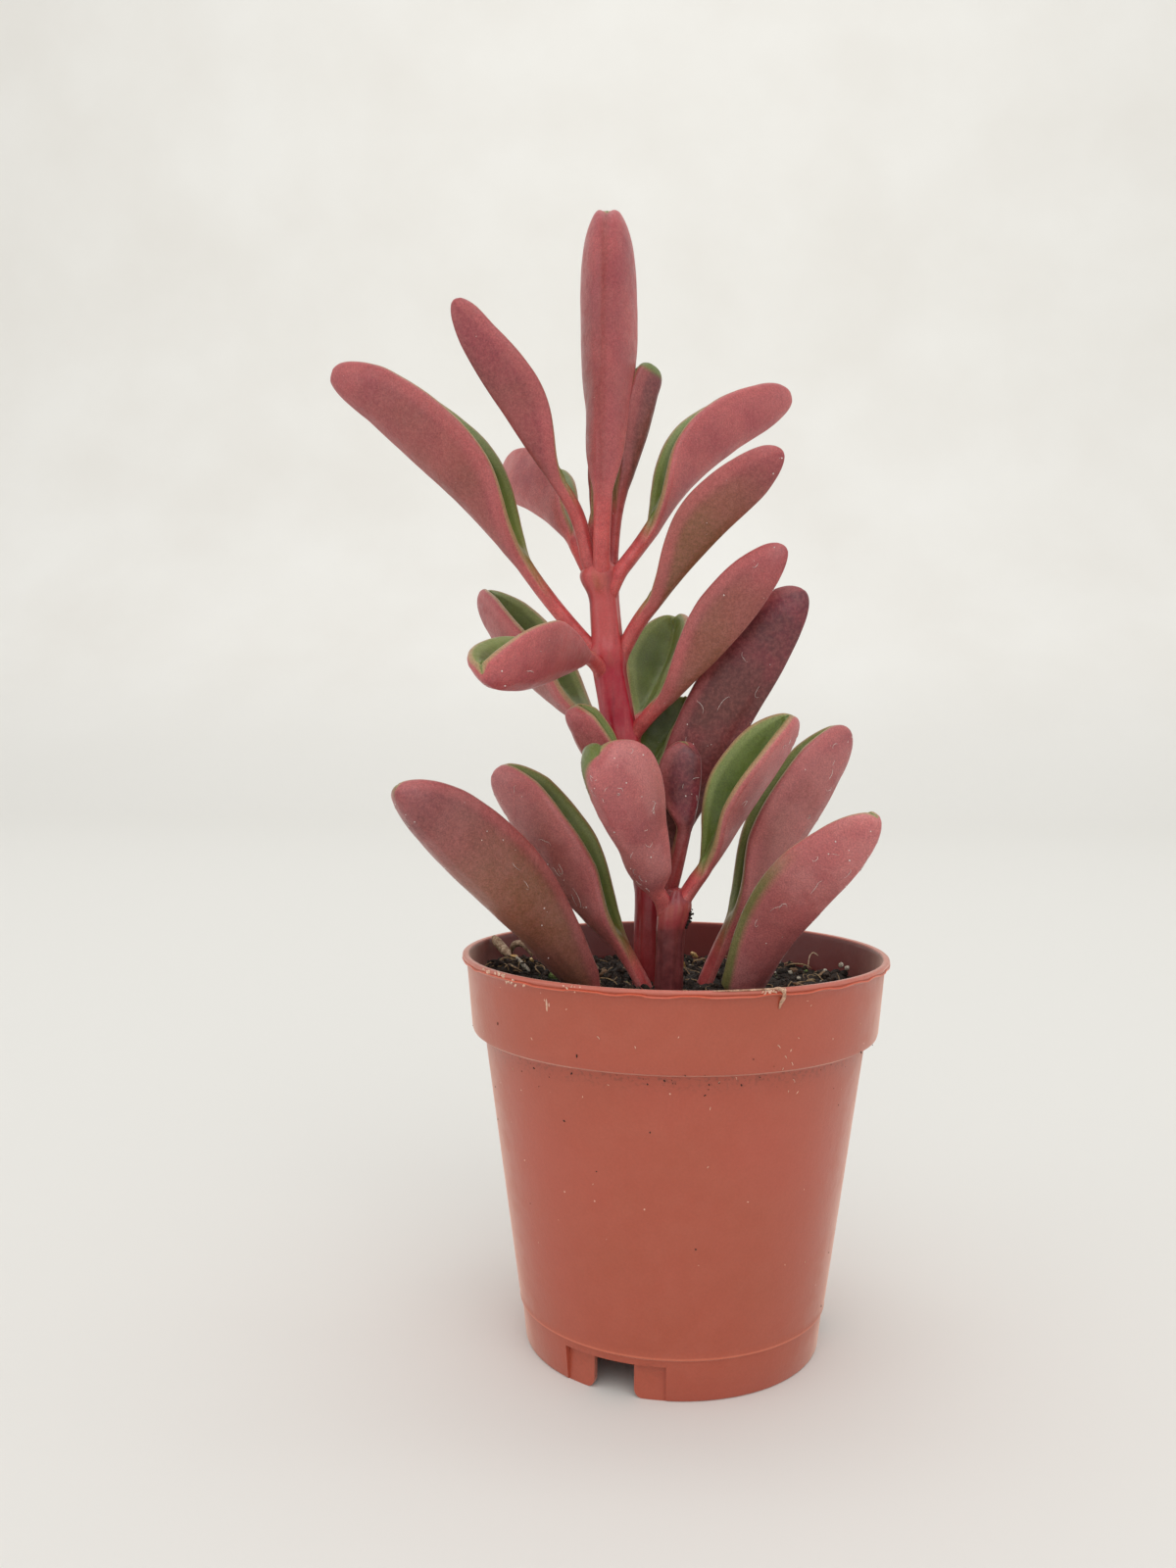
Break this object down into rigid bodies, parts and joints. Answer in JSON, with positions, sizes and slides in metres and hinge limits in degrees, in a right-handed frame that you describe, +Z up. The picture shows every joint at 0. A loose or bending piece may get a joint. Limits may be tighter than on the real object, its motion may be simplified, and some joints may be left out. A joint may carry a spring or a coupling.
{
  "type": "potted succulent plant",
  "caption": "Small succulent with folded, boat-shaped ruby leaves on two upright stems, standing in a round tapered nursery pot filled with peat.",
  "frame": {"origin": "middle of the plant's footprint, on the ground the pot stands on", "axes": "+Z up along the pot and the plant; -Y is the front, which the picture shows, and +X its right"},
  "size_m": [0.0809, 0.0608, 0.1582],
  "materials": {
    "pot_plastic": "satin moulded plastic, terracotta coloured",
    "soil": "dark moist peat with fibres and bark",
    "stem": "smooth waxy stem, crimson",
    "shoot": "smooth waxy stem, dark maroon",
    "leaf": "thick waxy leaf, dusty ruby underside and olive green hollow"
  },
  "bodies": {
    "root": {"pot": "pot_plastic", "soil": "soil", "main_stem": "stem", "front_shoot": "shoot", "leaf_top_upright": "leaf", "leaf_top_left": "leaf", "leaf_top_left_back": "leaf", "leaf_top_right": "leaf", "leaf_top_right_back": "leaf", "leaf_top_back": "leaf", "leaf_upper_left_long": "leaf", "leaf_upper_right": "leaf", "leaf_upper_front": "leaf", "leaf_middle_left": "leaf", "leaf_middle_right": "leaf", "leaf_middle_back": "leaf", "leaf_low_left_small": "leaf", "leaf_low_back_small": "leaf", "leaf_low_right_large": "leaf", "leaf_shoot_small": "leaf", "leaf_shoot_right": "leaf", "leaf_shoot_front": "leaf", "leaf_soil_left": "leaf", "leaf_soil_left_back": "leaf", "leaf_soil_right": "leaf", "leaf_soil_right_back": "leaf"}
  },
  "joints": []
}
